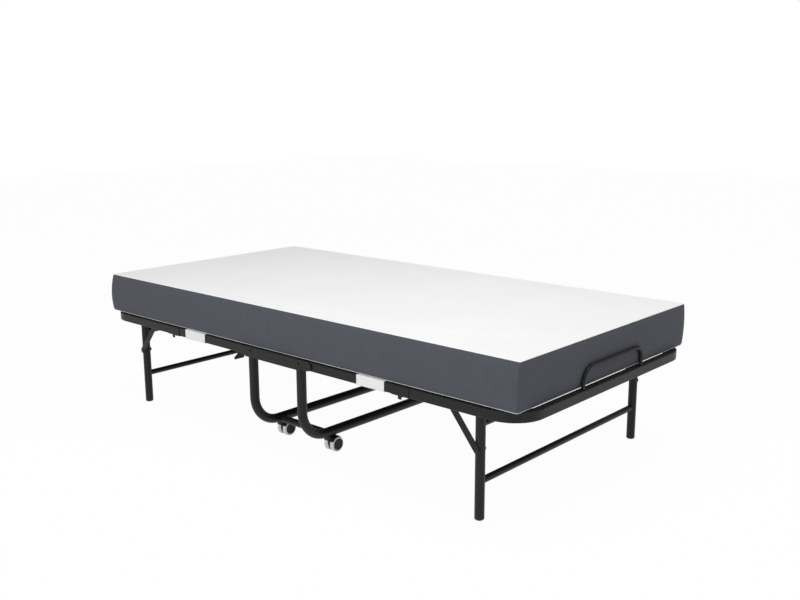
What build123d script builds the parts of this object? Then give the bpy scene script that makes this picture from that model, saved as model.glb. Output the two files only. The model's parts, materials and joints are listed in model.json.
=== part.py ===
from build123d import *
import os
from math import asin, atan2, cos, degrees, pi, radians, sin, sqrt

# A folding bed on a wheeled centre section. Millimetres. X runs along the bed, head at -X and
# foot at +X, Y across it, Z up. The origin is on the floor under the middle of the bed.

# Clearances
pin_gap = 0.05            # radial, round a pin or stem that something turns on
side_gap = 0.3            # between flat faces that pass each other
soft_gap = 0.3            # between fabric and what carries it
cut_over = 10.0           # how far a cutting tool runs past a face

# Rails of the two halves: rectangular tube
bed_length = 1942.5
bed_width = 953.5
rail_width = 25.0
rail_height = 30.0
rail_wall = 1.5
rail_edge_radius = 3.0
rail_bottom = 316.0
rail_corner_radius = 100.0
rail_joint_inset = 420.75  # from the bed's end to where end rail and side rail meet

# Mattress
mattress_side_inset = 11.75
mattress_top = 489.4
mattress_crown = 4.0
mattress_corner_radius = 8.0
mattress_low_corner_radius = 20.0
mattress_side_bulge = 7.0
mattress_foot_bulge = 2.4
mattress_head_bulge = 10.0
mattress_side_spread = 5.0   # how far the bottom edge stands out beyond the top edge
mattress_foot_spread = 2.0
mattress_head_spread = 6.0
mattress_bottom_radius = 12.0
mattress_hinge_inset = 20.0
crown_points = 7

# Fold hinge
fold_gap = 3.0            # from each folded mattress face to the middle of the bed
hinge_pin_radius = 4.0
hinge_nut_radius = 7.0
hinge_nut_height = 5.0
plate_thickness = 4.0
centre_rail_height = 35.5
centre_rail_gap = 3.0     # from the end of a side rail to the end of the centre rail

# U frames and stretchers
u_frame_inset = 47.4      # from the fold hinge in to the U frame
u_tube_radius = 15.9
u_tube_wall = 1.6
u_bar_height = 70.0
u_bend_radius = 99.0
u_bolt_radius = 3.0
u_bolt_head_radius = 6.0
u_bolt_head_height = 3.0
u_bolt_head_edge = 1.0
stretcher_side_inset = 120.75
stretcher_radius = 12.1
stretcher_height = 67.5
stretcher_wall = 1.5

# Deck
slat_width = 42.0
slat_height = 5.0
slat_wall = 1.2
slat_count = 9
centre_slat_count = 4
centre_slat_margin = 14.0
cross_tube_radius = 10.0
cross_tube_wall = 1.4
centre_cross_tube_x = 60.0

# Legs
leg_end_inset = 165.25
leg_side_inset = 45.75
leg_radius = 14.3
leg_wall = 1.4
leg_hinge_rise = 6.0      # from the rail's underside up to the hinge bolt
leg_top_above_hinge = 11.0
leg_bolt_radius = 4.0
leg_bolt_head_radius = 7.0
leg_bolt_head_height = 3.0
foot_cap_height = 8.0
foot_cap_edge = 2.5
foot_plug_length = 15.0
foot_plug_gap = 0.1
crossbar_height = 112.5
crossbar_radius = 10.0
crossbar_wall = 1.2
upper_crossbar_height = 280.0
leg_fold_angle = 90.0

# Leg brackets
bracket_thickness = 1.5
bracket_ear_radius = 9.0
guide_end_margin = 10.0

# Braces
brace_width = 21.3
brace_thickness = 2.5
brace_pivot_height = 206.0
brace_reach = 101.0        # from the leg to the brace's upper end, along the bed
guide_rise = 8.0           # from the leg's hinge up to the line that the brace slides on
brace_stud_radius = 4.0
brace_stud_end_height = 0.5
brace_bolt_radius = 4.0
brace_bolt_head_radius = 7.5
brace_bolt_head_height = 1.5
brace_bolt_head_edge = 0.8
brace_nut_height = 3.5

# Joining sleeves on the rails
sleeve_length = 67.0
sleeve_thickness = 1.6
sleeve_lip = 2.5
sleeve_tab_width = 13.0   # the tab that hangs down outside the bolt
sleeve_tab_drop = 8.0
sleeve_top_gap = 2.0
sleeve_bolt_radius = 3.0
sleeve_bolt_head_radius = 5.5
sleeve_bolt_head_height = 4.5
sleeve_bolt_head_edge = 1.5
sleeve_bolt_length = 12.0

# Straps
head_strap_end_inset = 550.5
foot_strap_end_inset = 537.8
strap_width = 116.5
strap_thickness = 1.6
strap_inner_height = 20.0

# Retainer bar
retainer_end_inset = 9.75   # from the bed's end to the middle of the rod
retainer_radius = 6.0
retainer_gap = 0.6        # to the mattress
retainer_half_width = 168.0
retainer_offset_y = 5.6
retainer_height = 60.5
retainer_near_bend_radius = 50.0
retainer_far_bend_radius = 30.0

# Catch on the head crossbar
catch_thickness = 4.0
catch_width = 30.6
catch_drop = 35.2
catch_draft = 2.3         # how far its straight edge leans out on the way down
catch_tip_length = 18.0
catch_tip_height = 9.3
catch_throat_drop = 13.7
catch_throat_lean = 0.9
catch_offset_y = 23.3
catch_corner_radius = 3.0

# Casters
stem_side_inset = 126.75
stem_radius = 5.0
stem_length = 26.0
socket_radius = 8.0
socket_length = 25.0
socket_below_tube = 0.6
wheel_radius = 25.0
wheel_width = 17.0
wheel_edge = 2.5
wheel_shoulder = 2.5
wheel_trail = 23.0
wheel_body_gap = 0.5
caster_body_thickness = 9.0
caster_body_radius = 21.0
caster_boss_radius = 9.0
caster_boss_height = 10.0
hood_inner_gap = 1.5
hood_thickness = 1.6
hood_from_angle = 62.0
hood_to_angle = 152.0
axle_radius = 3.0
axle_end_gap = 2.0
hub_radius = 19.0
hub_cap_height = 2.0
hub_cap_edge = 1.0

# Places worked out from the sizes above
half_length = bed_length / 2
half_width = bed_width / 2
rail_top = rail_bottom + rail_height
rail_mid_z = rail_bottom + rail_height / 2
rail_mid_y = half_width - rail_width / 2
rail_mid_x = half_length - rail_width / 2
rail_inner_y = half_width - rail_width
leg_hinge_height = rail_bottom + leg_hinge_rise
brace_top_height = leg_hinge_height + guide_rise
u_tube_y = rail_mid_y
rail_joint_x = half_length - rail_joint_inset
leg_x = half_length - leg_end_inset
leg_y = half_width - leg_side_inset
head_strap_x = half_length - head_strap_end_inset
foot_strap_x = half_length - foot_strap_end_inset
stretcher_y = half_width - stretcher_side_inset
stem_y = half_width - stem_side_inset
retainer_x = half_length - retainer_end_inset
hinge_z = rail_mid_z
mattress_bottom = rail_top + soft_gap
hinge_x = mattress_top + mattress_crown - hinge_z + fold_gap
u_frame_x = hinge_x - u_frame_inset
side_rail_end_x = hinge_x - rail_height / 2
centre_rail_end_x = side_rail_end_x - centre_rail_gap
centre_rail_width = rail_width + 2 * side_gap
centre_rail_bottom = rail_top - centre_rail_height
outer_plate_y = half_width + side_gap
inner_plate_y = rail_inner_y - side_gap - plate_thickness
slat_bottom = rail_top - slat_height
cross_tube_z = slat_bottom - cross_tube_radius
mattress_half_length = retainer_x - retainer_radius - retainer_gap - mattress_foot_bulge
mattress_half_width = half_width - mattress_side_inset
mattress_split_x = hinge_x + mattress_hinge_inset

# A strap's top end is sewn on just under the mattress's rounded bottom edge
side_slope = (4 * mattress_side_bulge - 3 * mattress_side_spread) / (mattress_top - mattress_bottom)
mattress_bottom_y = mattress_half_width + mattress_side_spread
rounding_y = mattress_bottom_y + mattress_bottom_radius * (side_slope - sqrt(1 + side_slope ** 2))
strap_end_y = rounding_y + sqrt(
    (mattress_bottom_radius + soft_gap) ** 2 - (mattress_bottom_radius - strap_thickness) ** 2
)

# The brace slides in the guide on its own height, so its length and both its end angles follow
hinge_to_pivot = leg_hinge_height - brace_pivot_height
brace_rise = brace_top_height - brace_pivot_height
brace_length = sqrt(brace_reach ** 2 + brace_rise ** 2)
guide_bottom = 2 * brace_top_height - slat_bottom
brace_open_angle = degrees(atan2(brace_rise, brace_reach))
brace_folded_angle = degrees(asin(guide_rise / brace_length))
brace_top_x = leg_x - brace_reach
brace_folded_x = leg_x - hinge_to_pivot - sqrt(brace_length ** 2 - guide_rise ** 2)
# The low head of the brace's bolt passes inside the bracket as the leg folds
brace_outer_y = rail_inner_y - bracket_thickness - brace_bolt_head_height - 2 * side_gap
brace_inner_y = brace_outer_y - brace_thickness


def tube(start, end, radius, wall):
    """A straight round tube between two points."""
    path = Line(start, end)
    plane = Plane(origin=start, z_dir=Vector(*end) - Vector(*start))
    return sweep(plane * (Circle(radius) - Circle(radius - wall)), path=path)


def rod(start, end, radius):
    """A straight round bar between two points."""
    plane = Plane(origin=start, z_dir=Vector(*end) - Vector(*start))
    length = (Vector(*end) - Vector(*start)).length
    return extrude(plane * Circle(radius), amount=length)


def block(x0, x1, y0, y1, z0, z1):
    """A box between two corners."""
    middle = ((x0 + x1) / 2, (y0 + y1) / 2, (z0 + z1) / 2)
    return Pos(*middle) * Box(x1 - x0, y1 - y0, z1 - z0)


def side_profile(points, y0, y1):
    """Extrudes an outline of (x, z) points from y0 to y1."""
    outline = make_face(Polyline(*[(x, y0, z) for x, z in points], close=True))
    return extrude(outline, amount=y1 - y0, dir=(0, 1, 0))


def near_and_far(piece):
    """The piece on the near side (-Y) and its twin on the far side."""
    return [piece, mirror(piece, about=Plane.XZ)]


def head_or_foot(pieces, side):
    """Pieces modelled for the foot half, turned to the side that is asked for."""
    if side == "foot":
        return pieces
    return [mirror(piece, about=Plane.YZ) for piece in pieces]


def rail_section():
    """The rail's rectangular tube, as a face about the origin: width along X, height along Y."""
    outer = RectangleRounded(rail_width, rail_height, rail_edge_radius)
    return outer - Rectangle(rail_width - 2 * rail_wall, rail_height - 2 * rail_wall)


def end_rail():
    """The end tube with its two bends, as far as the joints in the side rails."""
    path = FilletPolyline(
        (rail_joint_x, -rail_mid_y, rail_mid_z),
        (rail_mid_x, -rail_mid_y, rail_mid_z),
        (rail_mid_x, rail_mid_y, rail_mid_z),
        (rail_joint_x, rail_mid_y, rail_mid_z),
        radius=rail_corner_radius - rail_width / 2,
    )
    start = Plane(origin=path @ 0, x_dir=(0, 1, 0), z_dir=(1, 0, 0))
    return sweep(start * rail_section(), path=path)


def side_rail():
    """The near side rail, from its rounded hinge end to the joint."""
    start = Plane(origin=(side_rail_end_x, -rail_mid_y, rail_mid_z), x_dir=(0, 1, 0), z_dir=(1, 0, 0))
    rail = extrude(start * rail_section(), amount=rail_joint_x - side_rail_end_x)
    y0 = -half_width - cut_over
    y1 = -rail_inner_y + cut_over
    keep = block(hinge_x, rail_joint_x, y0, y1, rail_bottom, rail_top)
    keep += rod((hinge_x, y0, hinge_z), (hinge_x, y1, hinge_z), rail_height / 2)
    hole = rod((hinge_x, y0, hinge_z), (hinge_x, y1, hinge_z), hinge_pin_radius + pin_gap)
    return rail & keep - hole


def sleeve():
    """The clip round the near rail's outside and bottom at its joint, with a tab that hangs down."""
    start = Plane(
        origin=(rail_joint_x - sleeve_length / 2, -rail_mid_y, rail_mid_z),
        x_dir=(0, 1, 0),
        z_dir=(1, 0, 0),
    )
    width = rail_width + 2 * sleeve_thickness
    height = rail_height + 2 * sleeve_thickness
    ring = RectangleRounded(width, height, rail_edge_radius + sleeve_thickness)
    ring -= RectangleRounded(rail_width, rail_height, rail_edge_radius)
    clip = extrude(start * ring, amount=sleeve_length)
    x0 = rail_joint_x - sleeve_length
    x1 = rail_joint_x + sleeve_length
    clip -= block(x0, x1, -half_width - cut_over, -rail_inner_y + cut_over,
                  rail_top - sleeve_top_gap, rail_top + cut_over)
    clip -= block(x0, x1, -rail_mid_y, -rail_inner_y + cut_over,
                  rail_bottom + sleeve_lip, rail_top + cut_over)
    tab_top = rail_bottom + rail_edge_radius
    clip += block(rail_joint_x - sleeve_tab_width / 2, rail_joint_x + sleeve_tab_width / 2,
                  -half_width - sleeve_thickness, -half_width,
                  rail_bottom - sleeve_thickness - sleeve_tab_drop, tab_top)
    hole_bottom = (rail_joint_x, -rail_mid_y, rail_bottom - cut_over)
    hole_top = (rail_joint_x, -rail_mid_y, rail_bottom + cut_over)
    return clip - rod(hole_bottom, hole_top, sleeve_bolt_radius)


def sleeve_bolt():
    """The bolt up into the near rail, with its domed head below the sleeve."""
    x = rail_joint_x
    y = -rail_mid_y
    seat = rail_bottom - sleeve_thickness
    head = rod((x, y, seat), (x, y, seat - sleeve_bolt_head_height), sleeve_bolt_head_radius)
    head = chamfer(head.faces().sort_by(Axis.Z)[0].edges(), sleeve_bolt_head_edge)
    return head + rod((x, y, seat), (x, y, seat + sleeve_bolt_length), sleeve_bolt_radius)


def bolt_hole_in_rails(piece):
    """Takes the sleeve bolt's hole out of a near rail."""
    bottom = (rail_joint_x, -rail_mid_y, rail_bottom - cut_over)
    top = (rail_joint_x, -rail_mid_y, rail_bottom + cut_over)
    return piece - rod(bottom, top, sleeve_bolt_radius)


def slat(x, half_span):
    """A pressed steel slat across the bed, open below, with its crown rounded over."""
    y0 = -half_span
    outline = Plane(origin=(x, y0, slat_bottom), x_dir=(1, 0, 0), z_dir=(0, -1, 0))
    edge = slat_height - slat_wall
    shape = Polyline(
        (-slat_width / 2, 0), (-slat_width / 2 + edge, slat_height),
        (slat_width / 2 - edge, slat_height), (slat_width / 2, 0),
        (slat_width / 2 - slat_wall, 0), (slat_width / 2 - slat_wall - edge, slat_height - slat_wall),
        (-slat_width / 2 + slat_wall + edge, slat_height - slat_wall), (-slat_width / 2 + slat_wall, 0),
        close=True,
    )
    return extrude(outline * make_face(shape), amount=-2 * half_span)


def half_slats():
    """The slats of a half, evenly spaced from the hinge end to where the end rail's bends start."""
    first = mattress_split_x + slat_width / 2
    last = half_length - rail_corner_radius - slat_width / 2
    step = (last - first) / (slat_count - 1)
    return [slat(first + step * i, rail_inner_y) for i in range(slat_count)]


def centre_slats():
    """The slats between the centre section's side plates."""
    last = centre_rail_end_x - centre_slat_margin - slat_width / 2
    step = 2 * last / (centre_slat_count - 1)
    return [slat(-last + step * i, inner_plate_y) for i in range(centre_slat_count)]


def cross_tube(x):
    """A round tube between the centre section's side plates, under the slats."""
    return tube((x, -inner_plate_y, cross_tube_z), (x, inner_plate_y, cross_tube_z),
                cross_tube_radius, cross_tube_wall)


def leg_bracket():
    """The near bracket: a plate on the rail's inner face, with the leg's ear and the brace's slot."""
    y0 = -rail_inner_y
    y1 = y0 + bracket_thickness
    plate = block(brace_folded_x - guide_end_margin, leg_x + bracket_ear_radius, y0, y1,
                  guide_bottom, slat_bottom)
    slot_radius = brace_stud_radius + side_gap
    slot = block(brace_folded_x, brace_top_x, y0 - cut_over, y1 + cut_over,
                 brace_top_height - slot_radius, brace_top_height + slot_radius)
    for x in (brace_folded_x, brace_top_x):
        slot += rod((x, y0 - cut_over, brace_top_height), (x, y1 + cut_over, brace_top_height),
                    slot_radius)
    ear = rod((leg_x, y0, leg_hinge_height), (leg_x, y1, leg_hinge_height), bracket_ear_radius)
    hole = rod((leg_x, y0 - cut_over, leg_hinge_height), (leg_x, y1 + cut_over, leg_hinge_height),
               leg_bolt_radius)
    return plate - slot + ear - hole


def leg_bolt():
    """The near leg's hinge bolt: a stud in the bracket, a spacer to the leg, a nut inside the leg."""
    z = leg_hinge_height
    plate_y = -rail_inner_y + bracket_thickness
    spacer_end = -leg_y - leg_radius - side_gap
    nut_y = -leg_y + leg_radius + side_gap
    bolt = rod((leg_x, -rail_inner_y, z), (leg_x, nut_y, z), leg_bolt_radius)
    bolt += rod((leg_x, plate_y, z), (leg_x, spacer_end, z), leg_bolt_head_radius)
    nut_plane = Plane(origin=(leg_x, nut_y, z), z_dir=(0, 1, 0))
    return bolt + extrude(nut_plane * RegularPolygon(leg_bolt_head_radius, 6),
                          amount=leg_bolt_head_height)


def strap(x):
    """The near strap: out over the rail, down its face, under it and up behind."""
    x0 = x - strap_width / 2
    x1 = x + strap_width / 2
    t = strap_thickness
    low = rail_bottom - soft_gap
    high = rail_top + soft_gap
    inner = -rail_inner_y + soft_gap
    radius = rail_edge_radius + soft_gap
    ring_width = rail_width + 2 * soft_gap
    ring_height = rail_height + 2 * soft_gap
    start = Plane(origin=(x0, -rail_mid_y, rail_mid_z), x_dir=(0, 1, 0), z_dir=(1, 0, 0))
    ring = RectangleRounded(ring_width + 2 * t, ring_height + 2 * t, radius + t)
    ring -= RectangleRounded(ring_width, ring_height, radius)
    loop = extrude(start * ring, amount=strap_width)
    open_behind = block(x0 - cut_over, x1 + cut_over, -strap_end_y, inner + cut_over,
                        low + strap_inner_height, high + cut_over)
    return loop - open_behind


def leg():
    """The near leg tube, with holes for its hinge bolt and its brace's bolt."""
    piece = tube((leg_x, -leg_y, foot_cap_height),
                 (leg_x, -leg_y, leg_hinge_height + leg_top_above_hinge), leg_radius, leg_wall)
    y0 = -leg_y - leg_radius - cut_over
    y1 = -leg_y + leg_radius + cut_over
    for height, radius in ((leg_hinge_height, leg_bolt_radius + pin_gap),
                           (brace_pivot_height, brace_bolt_radius)):
        piece -= rod((leg_x, y0, height), (leg_x, y1, height), radius)
    return piece


def foot_cap():
    """The near leg's foot: a rounded cap with a plug up inside the tube."""
    cap = rod((leg_x, -leg_y, 0), (leg_x, -leg_y, foot_cap_height), leg_radius)
    cap = chamfer(cap.faces().sort_by(Axis.Z)[0].edges(), foot_cap_edge)
    plug_top = foot_cap_height + foot_plug_length
    return cap + rod((leg_x, -leg_y, foot_cap_height), (leg_x, -leg_y, plug_top),
                     leg_radius - leg_wall - foot_plug_gap)


def crossbar(height):
    """A round bar between the two legs, its ends cut to sit against them."""
    bar = tube((leg_x, -leg_y, height), (leg_x, leg_y, height), crossbar_radius, crossbar_wall)
    for y in (-leg_y, leg_y):
        bar -= rod((leg_x, y, height - leg_radius), (leg_x, y, height + leg_radius), leg_radius)
    return bar


def brace():
    """The near brace: a flat bar with round ends, a hole at the leg and its stud's end at the top."""
    y0 = -brace_outer_y
    y1 = -brace_inner_y
    low = Vector(leg_x, y0, brace_pivot_height)
    high = Vector(brace_top_x, y0, brace_top_height)
    plane = Plane(origin=(low + high) / 2, x_dir=high - low, z_dir=(0, 1, 0))
    bar = extrude(plane * SlotCenterToCenter(brace_length, brace_width), amount=brace_thickness)
    bar -= rod((low.X, y0 - cut_over, low.Z), (low.X, y1 + cut_over, low.Z),
               brace_bolt_radius + pin_gap)
    return bar + rod((high.X, y1, high.Z), (high.X, y1 + brace_stud_end_height, high.Z),
                     brace_stud_radius)


def brace_bolt():
    """The bolt that the near brace turns on, with a low round head and a nut inside the leg."""
    x = leg_x
    z = brace_pivot_height
    head_y = -brace_outer_y - side_gap
    nut_y = -leg_y + leg_radius
    bolt = rod((x, head_y - brace_bolt_head_height, z), (x, head_y, z), brace_bolt_head_radius)
    bolt = chamfer(bolt.faces().sort_by(Axis.Y)[0].edges(), brace_bolt_head_edge)
    bolt += rod((x, head_y, z), (x, nut_y, z), brace_bolt_radius)
    nut_plane = Plane(origin=(x, nut_y, z), z_dir=(0, 1, 0))
    return bolt + extrude(nut_plane * RegularPolygon(brace_bolt_head_radius, 6),
                          amount=brace_nut_height)


def catch():
    """The J-shaped plate under the middle of the head crossbar."""
    right = catch_offset_y + catch_width / 2
    left = catch_offset_y - catch_width / 2
    bottom = crossbar_height - catch_drop
    tip = left - catch_tip_length
    plane = Plane(origin=(-leg_x - catch_thickness / 2, 0, 0), x_dir=(0, 1, 0), z_dir=(1, 0, 0))
    outline = FilletPolyline(
        (right, crossbar_height), (right + catch_draft, bottom), (tip, bottom),
        (tip, bottom + catch_tip_height),
        (left - catch_throat_lean, crossbar_height - catch_throat_drop), (left, crossbar_height),
        radius=catch_corner_radius,
    )
    outline += Line((left, crossbar_height), (right, crossbar_height))
    plate = extrude(plane * make_face(outline), amount=catch_thickness)
    bar = rod((-leg_x, -leg_y, crossbar_height), (-leg_x, leg_y, crossbar_height), crossbar_radius)
    return plate - bar


def retainer_bar():
    """The bent rod that stands on the foot end rail."""
    low = rail_top
    high = rail_top + retainer_height
    y0 = retainer_offset_y - retainer_half_width
    y1 = retainer_offset_y + retainer_half_width
    path = FilletPolyline((retainer_x, y0, low), (retainer_x, y0, high), (retainer_x, y1, high),
                          (retainer_x, y1, low),
                          radius=[retainer_near_bend_radius, retainer_far_bend_radius])
    return sweep(Plane(origin=path @ 0, z_dir=path % 0) * Circle(retainer_radius), path=path)


def u_frame(side):
    """A U frame: two legs and the bar that carries the caster sockets."""
    x = side * u_frame_x
    path = FilletPolyline((x, -u_tube_y, centre_rail_bottom), (x, -u_tube_y, u_bar_height),
                          (x, u_tube_y, u_bar_height), (x, u_tube_y, centre_rail_bottom),
                          radius=u_bend_radius)
    section = Circle(u_tube_radius) - Circle(u_tube_radius - u_tube_wall)
    frame = sweep(Plane(origin=path @ 0, z_dir=path % 0) * section, path=path)
    for y in (-stem_y, stem_y):
        frame -= rod((x, y, u_bar_height - u_tube_radius - cut_over), (x, y, u_bar_height),
                     socket_radius)
    return frame


def stretcher():
    """The near bottom stretcher, its ends cut to sit against the U frames and their sockets."""
    piece = tube((-u_frame_x, -stretcher_y, stretcher_height),
                 (u_frame_x, -stretcher_y, stretcher_height), stretcher_radius, stretcher_wall)
    for x in (-u_frame_x, u_frame_x):
        piece -= rod((x, -stretcher_y - 2 * stretcher_radius, u_bar_height),
                     (x, -stretcher_y + 2 * stretcher_radius, u_bar_height), u_tube_radius)
        piece -= rod((x, -stem_y, u_bar_height - u_tube_radius - socket_below_tube),
                     (x, -stem_y, u_bar_height), socket_radius)
    return piece


def centre_rail():
    """The near side tube of the centre section."""
    start = Plane(origin=(-centre_rail_end_x, -rail_mid_y, centre_rail_bottom + centre_rail_height / 2),
                  x_dir=(0, 1, 0), z_dir=(1, 0, 0))
    section = Rectangle(centre_rail_width, centre_rail_height)
    section -= Rectangle(centre_rail_width - 2 * rail_wall, centre_rail_height - 2 * rail_wall)
    piece = extrude(start * section, amount=2 * centre_rail_end_x)
    for x in (-u_frame_x, u_frame_x):
        piece -= rod((x, -half_width - cut_over, hinge_z), (x, -rail_inner_y + cut_over, hinge_z),
                     u_bolt_radius)
    return piece


def centre_plate(y, thickness):
    """A side plate of the centre section: it carries the pins beyond both ends of the centre rail."""
    end = hinge_x + rail_height / 2
    leg_edge = u_frame_x + u_tube_radius
    gusset = Polyline((-hinge_x, rail_bottom), (-leg_edge, centre_rail_bottom),
                      (-leg_edge, rail_bottom), close=True)
    body = [
        (-hinge_x, rail_bottom), (-leg_edge, rail_bottom), (-leg_edge, centre_rail_bottom),
        (leg_edge, centre_rail_bottom), (leg_edge, rail_bottom), (hinge_x, rail_bottom),
        (hinge_x, rail_top), (-hinge_x, rail_top),
    ]
    plate = side_profile(body, y, y + thickness)
    corner = Plane(origin=(0, y, 0), x_dir=(1, 0, 0), z_dir=(0, -1, 0))
    web = extrude(corner * make_face(gusset), amount=-thickness)
    plate += web
    for x in (-hinge_x, hinge_x):
        plate += rod((x, y, hinge_z), (x, y + thickness, hinge_z), end - hinge_x)
    for x in (-hinge_x, hinge_x):
        plate -= rod((x, y - cut_over, hinge_z), (x, y + thickness + cut_over, hinge_z),
                     hinge_pin_radius)
    for x in (-u_frame_x, u_frame_x):
        plate -= rod((x, y - cut_over, hinge_z), (x, y + thickness + cut_over, hinge_z),
                     u_bolt_radius)
    return plate


def hinge_pin(side):
    """A near hinge pin: flush with the outer plate, with a nut on the inner one."""
    x = side * hinge_x
    outside = -outer_plate_y - plate_thickness
    inside = -inner_plate_y
    pin = rod((x, outside, hinge_z), (x, inside, hinge_z), hinge_pin_radius)
    nut_plane = Plane(origin=(x, inside, hinge_z), z_dir=(0, 1, 0))
    return pin + extrude(nut_plane * RegularPolygon(hinge_nut_radius, 6), amount=hinge_nut_height)


def u_frame_bolt(side):
    """A near bolt through plates and centre rail above a U frame's leg."""
    x = side * u_frame_x
    outside = -outer_plate_y - plate_thickness
    inside = -inner_plate_y
    head = rod((x, outside - u_bolt_head_height, hinge_z), (x, outside, hinge_z), u_bolt_head_radius)
    head = chamfer(head.faces().sort_by(Axis.Y)[0].edges(), u_bolt_head_edge)
    bolt = head + rod((x, outside, hinge_z), (x, inside, hinge_z), u_bolt_radius)
    nut_plane = Plane(origin=(x, inside, hinge_z), z_dir=(0, 1, 0))
    return bolt + extrude(nut_plane * RegularPolygon(u_bolt_head_radius, 6), amount=u_bolt_head_height)


def crown_cutter():
    """What lies above the mattress: its under face rises to the crown in the middle."""
    reach_x = mattress_half_length + cut_over
    reach_y = mattress_half_width + cut_over
    rows = []
    for i in range(crown_points):
        across = 2 * i / (crown_points - 1) - 1
        row = []
        for j in range(crown_points):
            along = 2 * j / (crown_points - 1) - 1
            x = along * reach_x
            y = across * reach_y
            rise = (1 - (x / mattress_half_length) ** 2) * (1 - (y / mattress_half_width) ** 2)
            row.append(Vector(x, y, mattress_top + mattress_crown * rise))
        rows.append(row)
    surface = Face.make_surface_from_array_of_points(rows)
    return extrude(surface, amount=mattress_crown + 2 * cut_over, dir=(0, 0, 1))


def mattress_outline(height, side, foot, head, corner):
    """The mattress's outline at a height, let out at its sides, its foot end and its head end."""
    length = 2 * mattress_half_length + foot + head
    width = 2 * (mattress_half_width + side)
    return Pos((foot - head) / 2, 0, height) * RectangleRounded(length, width, corner)


def whole_mattress():
    """The mattress in one piece: sides that swell out, a rounded bottom edge and a crowned top."""
    low = mattress_outline(mattress_bottom, mattress_side_spread, mattress_foot_spread,
                           mattress_head_spread, mattress_low_corner_radius)
    middle = mattress_outline((mattress_bottom + mattress_top) / 2, mattress_side_bulge,
                              mattress_foot_bulge, mattress_head_bulge,
                              (mattress_corner_radius + mattress_low_corner_radius) / 2)
    high = mattress_outline(mattress_top, 0, 0, 0, mattress_corner_radius)
    body = loft([low, middle, high])
    body = fillet(body.faces().sort_by(Axis.Z)[0].edges(), mattress_bottom_radius)
    body += extrude(high, amount=2 * mattress_crown)
    return body - crown_cutter()


def caster(side, y_side):
    """A caster: the turning body with stem and axle, then its two wheels."""
    x = side * u_frame_x
    y = y_side * stem_y
    wheel_y = y_side * (stem_y - wheel_trail)
    tube_bottom = u_bar_height - u_tube_radius
    boss_top = tube_bottom - socket_below_tube - side_gap
    half_body = caster_body_thickness / 2
    body_plane = Plane(origin=(x - half_body, 0, 0), x_dir=(0, 1, 0), z_dir=(1, 0, 0))
    disc = Pos(wheel_y, wheel_radius) * Circle(caster_body_radius)
    neck = make_face(Polyline(
        (wheel_y, wheel_radius + caster_body_radius), (y, boss_top), (y, wheel_radius),
        (wheel_y, wheel_radius), close=True,
    ))
    body = extrude(body_plane * (disc + neck), amount=caster_body_thickness)
    boss_bottom = boss_top - caster_boss_height
    boss = rod((x, y, boss_bottom), (x, y, boss_top), caster_boss_radius)
    wheel_space = wheel_radius + hood_inner_gap
    outer_x = half_body + wheel_body_gap + wheel_width
    boss -= rod((x - outer_x, wheel_y, wheel_radius), (x + outer_x, wheel_y, wheel_radius),
                wheel_space)
    body += boss
    body += rod((x, y, boss_top), (x, y, boss_top + stem_length), stem_radius)
    ring = Circle(wheel_space + hood_thickness) - Circle(wheel_space)
    far = 2 * wheel_radius
    from_angle = radians(hood_from_angle)
    to_angle = radians(hood_to_angle)
    sector = make_face(Polyline(
        (0, 0), (far * cos(from_angle), far * sin(from_angle)),
        (far * cos((from_angle + to_angle) / 2), far * sin((from_angle + to_angle) / 2)),
        (far * cos(to_angle), far * sin(to_angle)), close=True,
    ))
    hood_plane = Plane(origin=(x - outer_x, wheel_y, wheel_radius), x_dir=(0, -y_side, 0),
                       z_dir=(1, 0, 0) if y_side < 0 else (-1, 0, 0))
    if y_side > 0:
        hood_plane = Plane(origin=(x + outer_x, wheel_y, wheel_radius), x_dir=(0, -1, 0),
                           z_dir=(-1, 0, 0))
    body += extrude(hood_plane * (ring & sector), amount=2 * outer_x)
    axle_end = outer_x - axle_end_gap
    body += rod((x - axle_end, wheel_y, wheel_radius), (x + axle_end, wheel_y, wheel_radius),
                axle_radius)
    wheels = [wheel(x, wheel_y, direction) for direction in (-1, 1)]
    return body, wheels


def wheel(x, y, direction):
    """One wheel: a tyre round a hub, with a low cap on its outer face."""
    inner = caster_body_thickness / 2 + wheel_body_gap
    outer = inner + wheel_width
    start = (x + direction * inner, y, wheel_radius)
    end = (x + direction * outer, y, wheel_radius)
    tyre = rod(start, end, wheel_radius)
    tyre = chamfer(tyre.edges().filter_by(GeomType.CIRCLE), wheel_edge, wheel_shoulder)
    tyre -= rod(start, end, hub_radius)
    hub = rod(start, end, hub_radius)
    cap_end = (x + direction * (outer + hub_cap_height), y, wheel_radius)
    cap = rod(end, cap_end, hub_radius)
    cap = chamfer(cap.faces().sort_by(Axis.X)[-1 if direction > 0 else 0].edges(), hub_cap_edge)
    bore_end = (x + direction * (outer - axle_end_gap + side_gap), y, wheel_radius)
    hub = hub + cap - rod(start, bore_end, axle_radius + pin_gap)
    return [tyre, hub]


def socket(side, y_side):
    """The sleeve in a U frame's bar that a caster's stem turns in."""
    bottom = u_bar_height - u_tube_radius - socket_below_tube
    x = side * u_frame_x
    y = y_side * stem_y
    piece = rod((x, y, bottom), (x, y, bottom + socket_length), socket_radius)
    depth = stem_length - side_gap + pin_gap
    return piece - rod((x, y, bottom - cut_over), (x, y, bottom + depth), stem_radius + pin_gap)


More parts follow.
